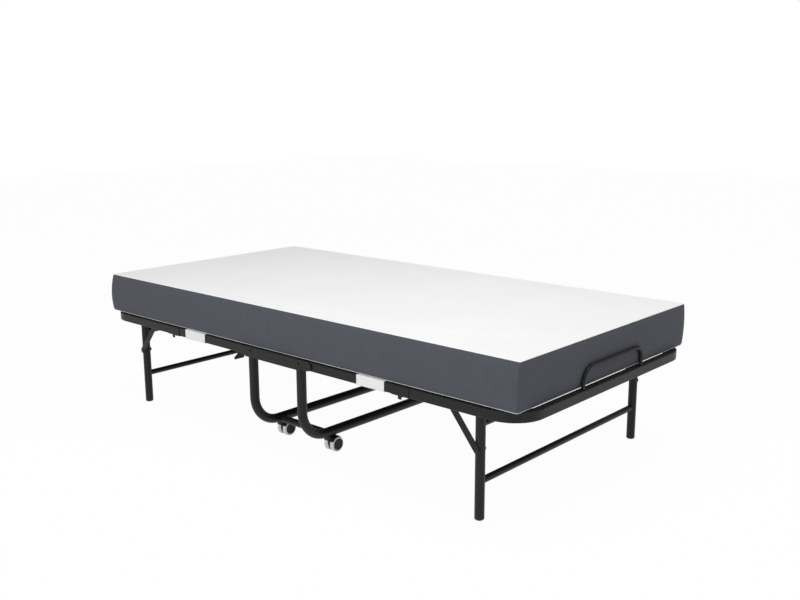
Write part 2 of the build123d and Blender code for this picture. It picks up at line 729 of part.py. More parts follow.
parts = {}
for name, side in (("head", "head"), ("foot", "foot")):
    rails = [end_rail()]
    for y_mirror in (False, True):
        cutter_bottom = (rail_joint_x, -rail_mid_y if not y_mirror else rail_mid_y,
                         rail_bottom - cut_over)
        cutter_top = (rail_joint_x, cutter_bottom[1], rail_bottom + cut_over)
        rails[0] -= rod(cutter_bottom, cutter_top, sleeve_bolt_radius)
    half = {
        "end_rail": rails,
        "side_rails": near_and_far(bolt_hole_in_rails(side_rail())),
        "rail_sleeves": near_and_far(sleeve()),
        "sleeve_bolts": near_and_far(sleeve_bolt()),
        "slats": half_slats(),
        "leg_brackets": near_and_far(leg_bracket()),
        "leg_bolts": near_and_far(leg_bolt()),
        "straps": near_and_far(strap(head_strap_x if side == "head" else foot_strap_x)),
        "near_leg": [leg()],
        "far_leg": [mirror(leg(), about=Plane.XZ)],
        "foot_caps": near_and_far(foot_cap()),
        "crossbar": [crossbar(crossbar_height)],
        "upper_crossbar": [crossbar(upper_crossbar_height)],
        "braces": near_and_far(brace()),
        "brace_bolts": near_and_far(brace_bolt()),
    }
    for piece_name, pieces in half.items():
        parts[f"{name}_{piece_name}"] = head_or_foot(pieces, side)

mattress = whole_mattress()
reach = half_length + cut_over
split = block(-mattress_split_x, mattress_split_x, -half_width, half_width, rail_top, 2 * mattress_top)
parts["mattress_middle"] = [mattress & split]
start = mattress_split_x + soft_gap
parts["mattress_foot"] = [
    mattress & block(start, reach, -half_width, half_width, rail_top, 2 * mattress_top)
]
parts["mattress_head"] = [
    mattress & block(-reach, -start, -half_width, half_width, rail_top, 2 * mattress_top)
]

parts["head_catch"] = [catch()]
parts["foot_retainer_bar"] = [retainer_bar()]
parts["head_u_frame"] = [u_frame(-1)]
parts["foot_u_frame"] = [u_frame(1)]
parts["stretchers"] = near_and_far(stretcher())
parts["centre_rails"] = near_and_far(centre_rail())
parts["centre_outer_plates"] = near_and_far(centre_plate(-outer_plate_y - plate_thickness,
                                                         plate_thickness))
parts["centre_inner_plates"] = near_and_far(centre_plate(-inner_plate_y - plate_thickness,
                                                         plate_thickness))
parts["hinge_pins"] = near_and_far(hinge_pin(-1)) + near_and_far(hinge_pin(1))
parts["u_frame_bolts"] = near_and_far(u_frame_bolt(-1)) + near_and_far(u_frame_bolt(1))
parts["centre_cross_tubes"] = [cross_tube(x) for x in (-centre_cross_tube_x, centre_cross_tube_x)]
parts["centre_slats"] = centre_slats()
parts["caster_sockets"] = [socket(side, y_side) for side in (-1, 1) for y_side in (-1, 1)]
for side, side_name in ((-1, "head"), (1, "foot")):
    for y_side, y_name in ((-1, "near"), (1, "far")):
        body, wheels = caster(side, y_side)
        parts[f"caster_{side_name}_{y_name}"] = [body]
        for wheel_pieces, wheel_name in zip(wheels, ("a", "b")):
            parts[f"wheel_{side_name}_{y_name}_{wheel_name}"] = wheel_pieces

os.makedirs("parts", exist_ok=True)
for part_name, pieces in parts.items():
    solids = []
    for piece in pieces:
        solids += piece.solids()
    shape = solids[0] if len(solids) == 1 else Compound(children=solids)
    shape.label = part_name
    export_step(shape, f"parts/{part_name}.step")

print("brace turns on the leg by", round(leg_fold_angle + brace_open_angle - brace_folded_angle, 3))
print("hinge x", hinge_x, "nodes", len(parts))
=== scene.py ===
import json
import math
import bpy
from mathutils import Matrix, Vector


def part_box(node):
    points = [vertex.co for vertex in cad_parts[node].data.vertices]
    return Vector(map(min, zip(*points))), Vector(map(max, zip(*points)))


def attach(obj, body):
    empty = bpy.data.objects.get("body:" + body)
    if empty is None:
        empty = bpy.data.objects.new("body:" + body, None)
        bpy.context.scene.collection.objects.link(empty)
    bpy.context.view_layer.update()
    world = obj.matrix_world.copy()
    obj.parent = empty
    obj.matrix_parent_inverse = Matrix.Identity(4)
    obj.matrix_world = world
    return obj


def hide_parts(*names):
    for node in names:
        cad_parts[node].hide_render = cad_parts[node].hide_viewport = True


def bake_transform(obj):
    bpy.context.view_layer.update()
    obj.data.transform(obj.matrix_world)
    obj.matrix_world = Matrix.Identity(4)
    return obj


bl_info = {
    "name": "Folding bed",
    "version": (1, 0, 0),
    "blender": (4, 5, 0),
    "location": "View3D > Sidebar > Folding bed",
    "description": "Dresses a folding bed frame with its mattress, straps, finishes and studio",
    "category": "Object",
}

import bmesh
import bpy
import numpy as np
from bpy.props import FloatProperty, FloatVectorProperty, PointerProperty
from bpy.types import Operator, Panel, PropertyGroup
from mathutils import Matrix, Vector

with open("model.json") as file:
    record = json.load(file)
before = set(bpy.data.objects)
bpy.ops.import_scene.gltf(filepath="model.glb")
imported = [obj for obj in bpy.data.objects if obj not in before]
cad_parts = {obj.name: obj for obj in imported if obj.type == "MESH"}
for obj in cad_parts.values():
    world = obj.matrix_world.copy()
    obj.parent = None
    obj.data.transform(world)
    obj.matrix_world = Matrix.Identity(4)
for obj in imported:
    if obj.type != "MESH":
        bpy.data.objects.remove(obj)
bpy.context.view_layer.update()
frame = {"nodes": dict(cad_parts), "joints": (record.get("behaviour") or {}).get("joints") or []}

HALVES = (("head", -1), ("foot", 1))


# Sizes that come from the frame

def node_box(name):
    """Lowest and highest corner of a frame node, as vectors."""
    low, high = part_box(name)
    return Vector(low), Vector(high)


MATTRESS_FOOT_END = node_box("mattress_foot")[1].x
MATTRESS_LOW, MATTRESS_HIGH = node_box("mattress_middle")
BAR_LOW, BAR_HIGH = node_box("foot_retainer_bar")
RAIL_OUTER_Y = node_box("foot_side_rails")[1].y
RAIL_INNER_Y = node_box("foot_slats")[1].y


def joint_place(name):
    """Where a named joint of the frame is."""
    for joint in frame["joints"]:
        if joint["name"] == name:
            return Vector(joint["pos_m"])
    raise RuntimeError(f"the frame has no joint named {name}")


FOLD_PIN = joint_place("foot_fold")


class MattressSettings(PropertyGroup):
    """Sizes and colours of the mattress."""

    side_swell: FloatProperty(
        name="Side swell", description="How far the long sides stand out at mid height",
        default=0.0136, min=0.0, max=0.03, unit="LENGTH")
    side_spread: FloatProperty(
        name="Side spread", description="How far the long sides stand out at the bottom",
        default=0.005, min=0.0, max=0.03, unit="LENGTH")
    side_proud: FloatProperty(
        name="Side proud", description="How far the cover's long sides stand past the foam",
        default=0.0102, min=0.0, max=0.02, unit="LENGTH")
    shift: FloatVectorProperty(
        name="Shift", description="How far the mattress lies towards the foot and the far side",
        default=(0.0017, 0.0027), size=2, subtype="XYZ", unit="LENGTH")
    foot_swell: FloatProperty(
        name="Foot swell", description="How far the foot end stands out at mid height",
        default=-0.0014, min=-0.03, max=0.03, unit="LENGTH")
    corner_swell: FloatProperty(
        name="Corner swell", description="Swell of the foot end at its corners, clear of the bar",
        default=0.0022, min=0.0, max=0.03, unit="LENGTH")
    press_fade: FloatProperty(
        name="Press fade", description="How far past the bar its pressing-in fades out",
        default=0.2, min=0.01, max=0.4, unit="LENGTH")
    foot_spread: FloatProperty(
        name="Foot spread", description="How far the foot end stands out at the bottom",
        default=-0.0022, min=-0.03, max=0.03, unit="LENGTH")
    foot_lean: FloatProperty(
        name="Foot lean", description="How far the foot end's top edge stands past the foam",
        default=0.001, min=-0.01, max=0.02, unit="LENGTH")
    head_swell: FloatProperty(
        name="Head swell", description="How far the head end stands out at mid height",
        default=0.008, min=0.0, max=0.03, unit="LENGTH")
    head_spread: FloatProperty(
        name="Head spread", description="How far the head end stands out at the bottom",
        default=0.005, min=0.0, max=0.03, unit="LENGTH")
    corner_radius: FloatProperty(
        name="Corner radius", description="Radius of the upright corners at the top",
        default=0.005, min=0.002, max=0.1, unit="LENGTH")
    low_corner_radius: FloatProperty(
        name="Low corner radius", description="Radius of the upright corners at the bottom",
        default=0.011, min=0.005, max=0.1, unit="LENGTH")
    bottom_radius: FloatProperty(
        name="Bottom radius", description="Rounding of the bottom edge",
        default=0.012, min=0.001, max=0.02, unit="LENGTH")
    top_radius: FloatProperty(
        name="Top radius", description="Rounding of the top panel's edge",
        default=0.0028, min=0.001, max=0.02, unit="LENGTH")
    crown: FloatProperty(
        name="Crown", description="How much higher the middle of the top is than its edge",
        default=0.004, min=0.0, max=0.03, unit="LENGTH")
    seam_depth: FloatProperty(
        name="Seam depth", description="How far the top seam is drawn in",
        default=0.0012, min=0.0, max=0.005, unit="LENGTH")
    piping_radius: FloatProperty(
        name="Piping radius", description="Radius of the piping round the bottom edge",
        default=0.0012, min=0.0005, max=0.005, unit="LENGTH")
    piping_height: FloatProperty(
        name="Piping height", description="Height of the piping above the mattress's underside",
        default=0.0038, min=0.0, max=0.01, unit="LENGTH")
    puff: FloatProperty(
        name="Puff", description="Furthest that the cloth simulation may move the cover",
        default=0.0025, min=0.0, max=0.02, unit="LENGTH")
    bend_reach: FloatProperty(
        name="Bend reach", description="How far the bending zone runs each side of a hinge pin",
        default=0.024, min=0.005, max=0.1, unit="LENGTH")
    top_color: FloatVectorProperty(
        name="Top panel", description="Colour of the knitted top panel",
        default=(0.875, 0.876, 0.878), size=3, min=0.0, max=1.0, subtype="COLOR")
    border_color: FloatVectorProperty(
        name="Border", description="Colour of the border round the sides",
        default=(0.071, 0.077, 0.093), size=3, min=0.0, max=1.0, subtype="COLOR")
    piping_color: FloatVectorProperty(
        name="Piping", description="Colour of the piping",
        default=(0.78, 0.78, 0.78), size=3, min=0.0, max=1.0, subtype="COLOR")


class StrapSettings(PropertyGroup):
    """Sizes and colours of the straps round the side rails."""

    thickness: FloatProperty(
        name="Thickness", description="Thickness of the webbing",
        default=0.0014, min=0.0005, max=0.004, unit="LENGTH")
    tuck: FloatProperty(
        name="Tuck", description="How far a strap runs in over the rail, under the mattress",
        default=0.0124, min=0.004, max=0.02, unit="LENGTH")
    back_rise: FloatProperty(
        name="Back rise", description="How far a strap runs up behind the rail",
        default=0.019, min=0.005, max=0.03, unit="LENGTH")
    bend: FloatProperty(
        name="Bend", description="Radius of a strap's bends over the rail's edges",
        default=0.0035, min=0.001, max=0.01, unit="LENGTH")
    side_inset: FloatProperty(
        name="Side inset", description="How much narrower the webbing is than its block, each side",
        default=0.002, min=0.0, max=0.01, unit="LENGTH")
    color: FloatVectorProperty(
        name="Webbing", description="Colour of the webbing",
        default=(0.87, 0.87, 0.865), size=3, min=0.0, max=1.0, subtype="COLOR")


class FrameSettings(PropertyGroup):
    """Colours and finish of the frame."""

    coat_color: FloatVectorProperty(
        name="Powder coat", description="Colour of the coated steel",
        default=(0.0105, 0.0105, 0.011), size=3, min=0.0, max=1.0, subtype="COLOR")
    coat_roughness: FloatProperty(
        name="Powder coat roughness", description="How matt the coated steel is",
        default=0.42, min=0.0, max=1.0)
    plastic_color: FloatVectorProperty(
        name="Plastic", description="Colour of the foot caps and caster bodies",
        default=(0.012, 0.012, 0.013), size=3, min=0.0, max=1.0, subtype="COLOR")
    bolt_color: FloatVectorProperty(
        name="Bolts", description="Colour of the blackened bolts and pins",
        default=(0.014, 0.014, 0.015), size=3, min=0.0, max=1.0, subtype="COLOR")


class WheelSettings(PropertyGroup):
    """Colours of the wheels."""

    tread_color: FloatVectorProperty(
        name="Tread", description="Colour of the pale tread",
        default=(0.90, 0.90, 0.89), size=3, min=0.0, max=1.0, subtype="COLOR")
    hub_color: FloatVectorProperty(
        name="Hub", description="Colour of the dark hub cap",
        default=(0.013, 0.013, 0.014), size=3, min=0.0, max=1.0, subtype="COLOR")
    hub_radius: FloatProperty(
        name="Hub radius", description="Radius of the hub cap",
        default=0.019, min=0.005, max=0.05, unit="LENGTH")
    cap_height: FloatProperty(
        name="Cap height", description="How far the hub cap stands out of the wheel",
        default=0.002, min=0.0, max=0.01, unit="LENGTH")
    tread_edge: FloatProperty(
        name="Tread edge", description="Rounding of the tread's edges",
        default=0.004, min=0.001, max=0.008, unit="LENGTH")


class StageSettings(PropertyGroup):
    """Camera, lights and backdrop."""

    camera_place: FloatVectorProperty(
        name="Camera place", description="Where the camera stands",
        default=(2.27707, -2.39816, 1.14528), size=3, subtype="TRANSLATION", unit="LENGTH")
    camera_turn: FloatProperty(
        name="Camera turn", description="How far the camera is turned to the left of +Y",
        default=math.radians(41.913), unit="ROTATION")
    camera_tilt: FloatProperty(
        name="Camera tilt", description="How far the camera looks down",
        default=math.radians(11.974), unit="ROTATION")
    camera_roll: FloatProperty(
        name="Camera roll", description="How far the camera leans to its right",
        default=math.radians(0.203), unit="ROTATION")
    focal_length: FloatProperty(
        name="Focal length", description="Focal length in millimetres on a sensor 36 mm wide",
        default=42.38, min=10.0, max=200.0)
    sky_light: FloatProperty(
        name="Sky light", description="Strength of the soft light from all round",
        default=0.50, min=0.0, max=5.0)
    key_light: FloatProperty(
        name="Key light", description="Strength of the soft light from above, in watts",
        default=49.0, min=0.0, max=1000.0)
    side_light: FloatProperty(
        name="Side light", description="Strength of the light on the long near side, in watts",
        default=31.0, min=0.0, max=1000.0)
    key_place: FloatVectorProperty(
        name="Key light place", description="Where the light from above hangs",
        default=(0.9, -0.4, 3.2), size=3, subtype="TRANSLATION", unit="LENGTH")
    key_aim: FloatVectorProperty(
        name="Key light aim", description="What the light from above points at",
        default=(0.2, 0.0, 0.3), size=3, subtype="TRANSLATION", unit="LENGTH")
    side_place: FloatVectorProperty(
        name="Side light place", description="Where the light on the near side stands",
        default=(0.4, -3.4, 1.3), size=3, subtype="TRANSLATION", unit="LENGTH")
    side_aim: FloatVectorProperty(
        name="Side light aim", description="What the light on the near side points at",
        default=(0.0, 0.0, 0.35), size=3, subtype="TRANSLATION", unit="LENGTH")
    lamp_size: FloatProperty(
        name="Lamp size", description="Side of both square lamps",
        default=2.4, min=0.1, max=10.0, unit="LENGTH")
    floor_reach: FloatProperty(
        name="Floor reach", description="How far the floor runs from the middle of the bed",
        default=12.0, min=2.0, max=100.0, unit="LENGTH")
    floor_shadow: FloatProperty(
        name="Floor shadow", description="Share of the floor that takes light and shadow",
        default=0.03, min=0.0, max=1.0, subtype="FACTOR")


class BedSettings(PropertyGroup):
    """Everything that a user would change on the bed."""

    mattress: PointerProperty(type=MattressSettings)
    straps: PointerProperty(type=StrapSettings)
    steel: PointerProperty(type=FrameSettings)
    wheels: PointerProperty(type=WheelSettings)
    stage: PointerProperty(type=StageSettings)


def settings(context):
    """All of this file's settings."""
    return context.scene.folding_bed


def add_object(name, data):
    """A new object in the scene."""
    piece = bpy.data.objects.new(name, data)
    bpy.context.scene.collection.objects.link(piece)
    return piece


# Material helpers

NODE_COLUMN = 180         # the nodes' spacing in the node editor
NODE_ROW = 120
NODE_ROWS = 5
MIX_A = 6                 # a mix node's sockets for colours
MIX_B = 7
MIX_RESULT = 2


class NodePen:
    """Adds shader nodes from right to left and links them."""

    def __init__(self, name):
        self.material = bpy.data.materials.new(name)
        self.material.use_nodes = True
        self.tree = self.material.node_tree
        self.shader = self.tree.nodes["Principled BSDF"]
        self.count = 0

    def add(self, kind, inputs=None, **values):
        """Adds a node; inputs maps a socket's name or number to a value or a socket."""
        node = self.tree.nodes.new(kind)
        self.count += 1
        node.location = (-NODE_COLUMN * self.count, -NODE_ROW * (self.count % NODE_ROWS))
        for key, value in values.items():
            setattr(node, key, value)
        for key, value in (inputs or {}).items():
            self.put(node.inputs[key], value)
        return node

    def put(self, socket, value):
        """Links a socket, or sets its own value."""
        if isinstance(value, bpy.types.NodeSocket):
            self.tree.links.new(value, socket)
        else:
            socket.default_value = value

    def place(self):
        """The piece's own coordinates, which move with it."""
        return self.add("ShaderNodeTexCoord").outputs["Object"]

    def axes(self, place):
        """The sockets X, Y and Z of a place."""
        return self.add("ShaderNodeSeparateXYZ", {"Vector": place}).outputs

    def math(self, operation, a, b=0.0):
        """One operation on one or two values."""
        return self.add("ShaderNodeMath", {0: a, 1: b}, operation=operation).outputs[0]

    def wave(self, along, length):
        """A sine wave from -1 to 1; its length is in metres."""
        return self.math("SINE", self.math("MULTIPLY", along, 2 * math.pi / length))

    def noise(self, place, scale, detail=3.0, roughness=0.5):
        """Cloudy noise; its scale is in blobs to a metre."""
        node = self.add("ShaderNodeTexNoise", {
            "Vector": place, "Scale": scale, "Detail": detail, "Roughness": roughness})
        return node.outputs["Fac"]

    def blend(self, share, a, b):
        """Mixes two colours by a share."""
        node = self.add("ShaderNodeMix", {"Factor": share}, data_type="RGBA")
        self.put(node.inputs[MIX_A], a)
        self.put(node.inputs[MIX_B], b)
        return node.outputs[MIX_RESULT]

    def shades(self, share, color, dark, light):
        """Mixes a darker and a lighter shade of one colour by a share."""
        return self.blend(share, rgba(color, dark), rgba(color, light))

    def ramp(self, value, low, high, start=0.0, end=1.0):
        """Maps low..high to start..end and stops at both ends."""
        node = self.add("ShaderNodeMapRange", {
            "Value": value, "From Min": low, "From Max": high, "To Min": start, "To Max": end})
        return node.outputs["Result"]

    def bump(self, height, strength, distance):
        """Roughens the surface by a height; the distance is in metres."""
        node = self.add("ShaderNodeBump", {
            "Height": height, "Strength": strength, "Distance": distance})
        self.put(self.shader.inputs["Normal"], node.outputs["Normal"])

    def finish(self, **sockets):
        """Sets the shader's own sockets; underscores stand for spaces."""
        for key, value in sockets.items():
            self.put(self.shader.inputs[key.replace("_", " ")], value)
        return self.material


def rgba(color, lift=1.0):
    """A colour with full alpha, made lighter or darker."""
    return tuple(min(1.0, c * lift) for c in color) + (1.0,)


# Finishes of the frame and the wheels

ROUGHNESS_DIP = 0.04      # how much glossier than its setting the coat is in places
ROUGHNESS_RISE = 0.05     # and how much duller


def powder_coat(steel):
    """Satin powder coat: a fine orange peel, a little uneven in colour and gloss."""
    pen = NodePen("powder_coat")
    place = pen.place()
    peel = pen.noise(place, scale=900.0, detail=2.0)
    cloud = pen.noise(place, scale=7.0, detail=4.0)
    share = pen.ramp(cloud, low=0.35, high=0.65)
    color = pen.shades(share, steel.coat_color, dark=0.9, light=1.15)
    rough = pen.ramp(cloud, low=0.3, high=0.7, start=steel.coat_roughness - ROUGHNESS_DIP,
                     end=steel.coat_roughness + ROUGHNESS_RISE)
    pen.bump(peel, strength=0.12, distance=0.0004)
    return pen.finish(Base_Color=color, Roughness=rough, Metallic=0.0, IOR=1.33)


def moulded_plastic(steel):
    """Dark moulded plastic with a fine grain."""
    pen = NodePen("moulded_plastic")
    place = pen.place()
    grain = pen.noise(place, scale=1500.0, detail=2.0)
    cloud = pen.noise(place, scale=30.0, detail=3.0)
    color = pen.shades(cloud, steel.plastic_color, dark=0.85, light=1.2)
    rough = pen.ramp(cloud, low=0.3, high=0.7, start=0.45, end=0.58)
    pen.bump(grain, strength=0.15, distance=0.0003)
    return pen.finish(Base_Color=color, Roughness=rough, IOR=1.42)


def blackened_bolt(steel):
    """Blackened steel of bolts and pins, a little shinier than the frame."""
    pen = NodePen("blackened_bolt")
    cloud = pen.noise(pen.place(), scale=120.0, detail=4.0)
    color = pen.shades(cloud, steel.bolt_color, dark=0.7, light=1.3)
    rough = pen.ramp(cloud, low=0.3, high=0.7, start=0.34, end=0.46)
    return pen.finish(Base_Color=color, Roughness=rough, Metallic=0.2, IOR=1.4)


def tread_rubber(wheels):
    """Pale rubber of a tread, with fine scuffs."""
    pen = NodePen("tread_rubber")
    scuff = pen.noise(pen.place(), scale=160.0, detail=4.0)
    color = pen.shades(scuff, wheels.tread_color, dark=0.92, light=1.06)
    pen.bump(scuff, strength=0.15, distance=0.0003)
    return pen.finish(Base_Color=color, Roughness=0.6)


def hub_plastic(wheels):
    """Dark moulded plastic of a hub cap, as matt as its caster."""
    pen = NodePen("hub_plastic")
    place = pen.place()
    grain = pen.noise(place, scale=1200.0, detail=2.0)
    cloud = pen.noise(place, scale=60.0, detail=3.0)
    color = pen.shades(cloud, wheels.hub_color, dark=0.85, light=1.15)
    rough = pen.ramp(cloud, low=0.3, high=0.7, start=0.5, end=0.6)
    pen.bump(grain, strength=0.1, distance=0.0002)
    return pen.finish(Base_Color=color, Roughness=rough, IOR=1.36)


# Cloths; the steps of their stitches and weaves are in metres

KNIT_STITCH = 0.0036
KNIT_ROW = 0.0030
DIMPLE_STEP = 0.0045
PIPING_TWIST = 0.002
TWILL_STEP = 0.0018
WEFT_STEP = 0.0012
WEFT_SHARE = 0.5          # how high the weft stands against the twill
STREAK_SHARE = 0.12       # how wide the border's streaks are against their height


def knit(pen, place, stitch, row):
    """Height of a knitted cloth: stitches along the side or the end, rows up it."""
    axes = pen.axes(place)
    stitches = pen.wave(pen.math("ADD", axes["X"], axes["Y"]), stitch)
    rows = pen.wave(axes["Z"], row)
    return pen.math("ADD", stitches, pen.math("MULTIPLY", stitches, rows))


def border_cloth(mattress):
    """Dark spacer knit of the border: fine upright ribs and a heathered colour."""
    pen = NodePen("border_knit")
    place = pen.place()
    ribs = knit(pen, place, KNIT_STITCH, KNIT_ROW)
    stretched = pen.add("ShaderNodeMapping",
                        {"Vector": place, "Scale": (1.0, 1.0, STREAK_SHARE)})
    streak = pen.noise(stretched.outputs["Vector"], scale=90.0, detail=4.0, roughness=0.6)
    heather = pen.noise(place, scale=700.0, detail=3.0)
    share = pen.ramp(streak, low=0.3, high=0.7)
    base = pen.shades(share, mattress.border_color, dark=0.94, light=1.06)
    specks = pen.ramp(heather, low=0.35, high=0.65, start=0.0, end=0.25)
    color = pen.blend(specks, base, rgba(mattress.border_color, lift=1.4))
    pen.bump(pen.math("ADD", ribs, heather), strength=0.35, distance=0.0006)
    return pen.finish(Base_Color=color, Roughness=0.85, Sheen_Weight=0.06, Sheen_Roughness=0.5,
                      IOR=1.4)


def panel_cloth(mattress):
    """Pale knit of the top panel, with small dimples."""
    pen = NodePen("panel_knit")
    place = pen.place()
    axes = pen.axes(place)
    dimple = pen.math("MULTIPLY", pen.wave(axes["X"], DIMPLE_STEP),
                      pen.wave(axes["Y"], DIMPLE_STEP))
    cloud = pen.noise(place, scale=3.0, detail=3.0)
    share = pen.ramp(cloud, low=0.3, high=0.7)
    color = pen.shades(share, mattress.top_color, dark=0.985, light=1.015)
    pen.bump(dimple, strength=0.2, distance=0.0005)
    return pen.finish(Base_Color=color, Roughness=0.88, Sheen_Weight=0.15, Sheen_Roughness=0.5,
                      IOR=1.4)


def piping_cloth(mattress):
    """Twisted covering of the piping, with painted shade in the twist's grooves and a painted
    highlight on its ridges.
    """
    pen = NodePen("piping_cloth")
    axes = pen.axes(pen.place())
    along = pen.math("ADD", axes["X"], axes["Y"])
    twist = pen.wave(pen.math("ADD", along, axes["Z"]), PIPING_TWIST)
    # Painted shade and highlight: the colour follows the twist's height, darker in its grooves and
    # lighter on its ridges
    share = pen.ramp(twist, low=-1.0, high=1.0)
    color = pen.shades(share, mattress.piping_color, dark=0.88, light=1.1)
    pen.bump(twist, strength=0.3, distance=0.0003)
    return pen.finish(Base_Color=color, Roughness=0.8, Sheen_Weight=0.1)


def webbing_cloth(straps):
    """Pale webbing with a fine twill, with painted shade in the weave's hollows and a painted
    highlight on its raised threads.
    """
    pen = NodePen("webbing")
    axes = pen.axes(pen.place())
    rise = pen.math("ADD", axes["Z"], axes["Y"])
    twill = pen.wave(pen.math("ADD", axes["X"], rise), TWILL_STEP)
    weft = pen.wave(axes["X"], WEFT_STEP)
    weave = pen.math("ADD", twill, pen.math("MULTIPLY", weft, WEFT_SHARE))
    highest = 1.0 + WEFT_SHARE
    # Painted shade and highlight: the colour follows the weave's height, darker in its hollows and
    # lighter on its raised threads
    share = pen.ramp(weave, low=-highest, high=highest)
    color = pen.shades(share, straps.color, dark=0.9, light=1.08)
    pen.bump(weave, strength=0.3, distance=0.0004)
    return pen.finish(Base_Color=color, Roughness=0.8, Sheen_Weight=0.15)


# Mesh helpers

WELD_DISTANCE = 0.00001   # how near points lie that count as one, or as on a cut
CORNER_STEPS = 5          # grid places in each rounded corner


def new_piece(name, verts, faces, materials, face_slots=None):
    """A smooth mesh object from points and faces."""
    mesh = bpy.data.meshes.new(name)
    mesh.from_pydata([tuple(v) for v in verts], [], faces)
    for material in materials:
        mesh.materials.append(material)
    if face_slots is not None:
        mesh.polygons.foreach_set("material_index", face_slots)
    mesh.polygons.foreach_set("use_smooth", [True] * len(mesh.polygons))
    mesh.update()
    return add_object(name, mesh)


def stations(half, corner, step, extra=()):
    """Places from -half to half: even ones, some in each corner, and some added ones."""
    straight = half - corner
    count = max(2, round(2 * straight / step))
    places = [-straight + 2 * straight * i / count for i in range(count + 1)]
    places += [side * (straight + corner * k / CORNER_STEPS)
               for side in (-1, 1) for k in range(1, CORNER_STEPS + 1)]
    least_gap = step / 3
    kept = [p for p in places if all(abs(p - e) > least_gap for e in extra)]
    return sorted(kept + list(extra))


def rounded(x, y, half_x, half_y, corner):
    """Moves a point of a rectangle's grid so that the rectangle's corners become round."""
    a = (abs(x) - (half_x - corner)) / corner
    b = (abs(y) - (half_y - corner)) / corner
    if a <= 0 or b <= 0:
        return x, y
    round_a = a * math.sqrt(1 - b * b / 2)
    round_b = b * math.sqrt(1 - a * a / 2)
    return (math.copysign(half_x - corner + corner * round_a, x),
            math.copysign(half_y - corner + corner * round_b, y))


def refit(place, half, corner, new_half, new_corner):
    """Moves a place on a grid line as the line's half length and its corner's share change."""
    flat = half - corner
    if abs(place) <= flat:
        moved = abs(place) * (new_half - new_corner) / flat
    else:
        moved = new_half - new_corner + (abs(place) - flat) * new_corner / corner
    return math.copysign(moved, place)


def eased(share):
    """A share that starts and ends gently."""
    return share * share * (3 - 2 * share)


def stand_out(spread, swell, share):
    """How far a side stands out: spread at the bottom, swell at mid height, nothing at the top."""
    return spread + (4 * swell - 3 * spread) * share + (2 * spread - 4 * swell) * share ** 2


def peak(spread, swell):
    """The furthest that a side stands out."""
    return spread + (4 * swell - 3 * spread) ** 2 / (4 * (4 * swell - 2 * spread))


# The mattress

GRID_STEP = 0.024         # about how far apart the cover's even grid lines are
HINGE_STEPS = 4           # steps from a hinge pin to each end of its bending zone
BOTTOM_STEPS = 6          # steps round the bottom edge's rounding
SIDE_STEPS = 13           # even steps from that rounding up to the seam
TOP_STEPS = 4             # steps round the top panel's edge
SEAM_LEAD = 0.0015        # how far below the seam the border starts to be drawn in
SEAM_RISE = 0.0008        # from the seam up to the start of the top panel's edge
SEAM_DROP_SHARE = 0.4     # of the top radius, from the edge's height down to the seam
EDGE_RISE_SHARE = 0.5     # of the top radius, from the edge's height up to the panel
LEAST_CORNER_SHARE = 0.25  # of a corner's radius, kept where the cover is set in


